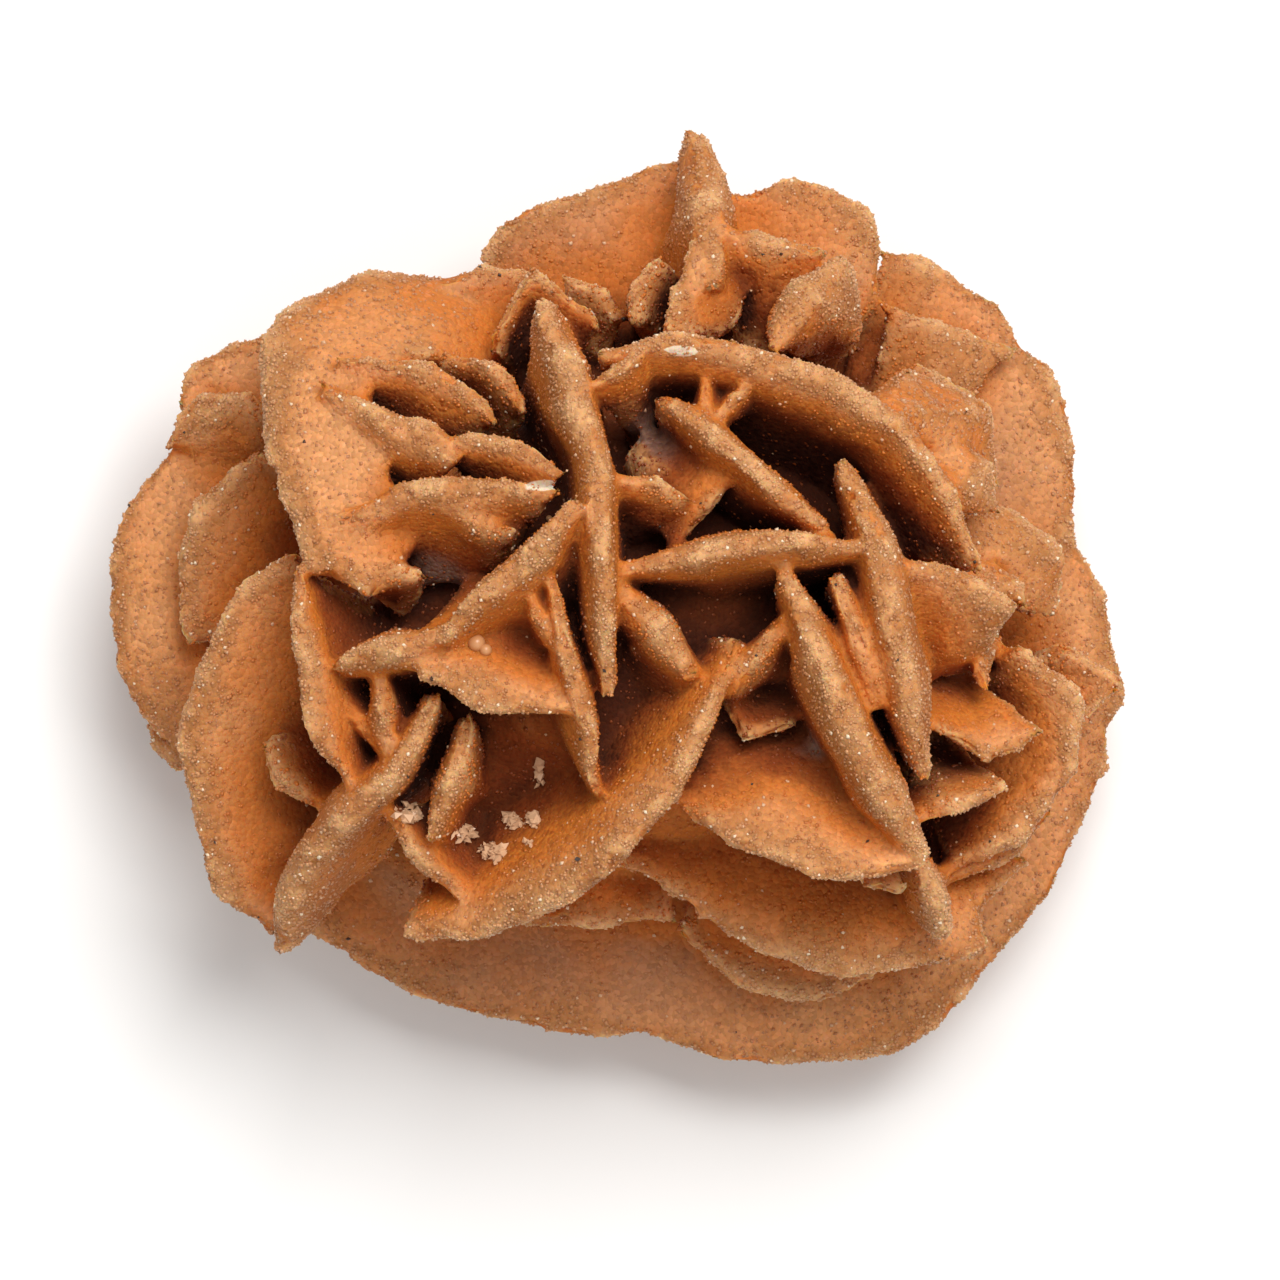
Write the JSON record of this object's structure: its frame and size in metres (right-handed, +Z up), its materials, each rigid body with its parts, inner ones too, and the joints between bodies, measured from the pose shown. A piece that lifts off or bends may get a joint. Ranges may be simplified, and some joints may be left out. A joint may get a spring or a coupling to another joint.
{
  "type": "gypsum sand rose",
  "caption": "Rosette of thin, lens-shaped gypsum blades full of desert sand, grown through one another round a solid heart, lying on its flat broken back.",
  "frame": {"origin": "on the surface that the rose rests on, under the middle of its outline box", "axes": "+Z up, the way the rosette opens; +X along the longest side of the outline; +Y along the other side, towards the upright spike at the rim"},
  "size_m": [0.0518, 0.0476, 0.0305],
  "materials": {
    "sand_gypsum": "orange-brown sandy gypsum, matt and sugar-grained, paler on the crumbly rims, red-brown in the recesses, a little translucent"
  },
  "bodies": {
    "root": {"sand_rose": "sand_gypsum"}
  },
  "joints": []
}
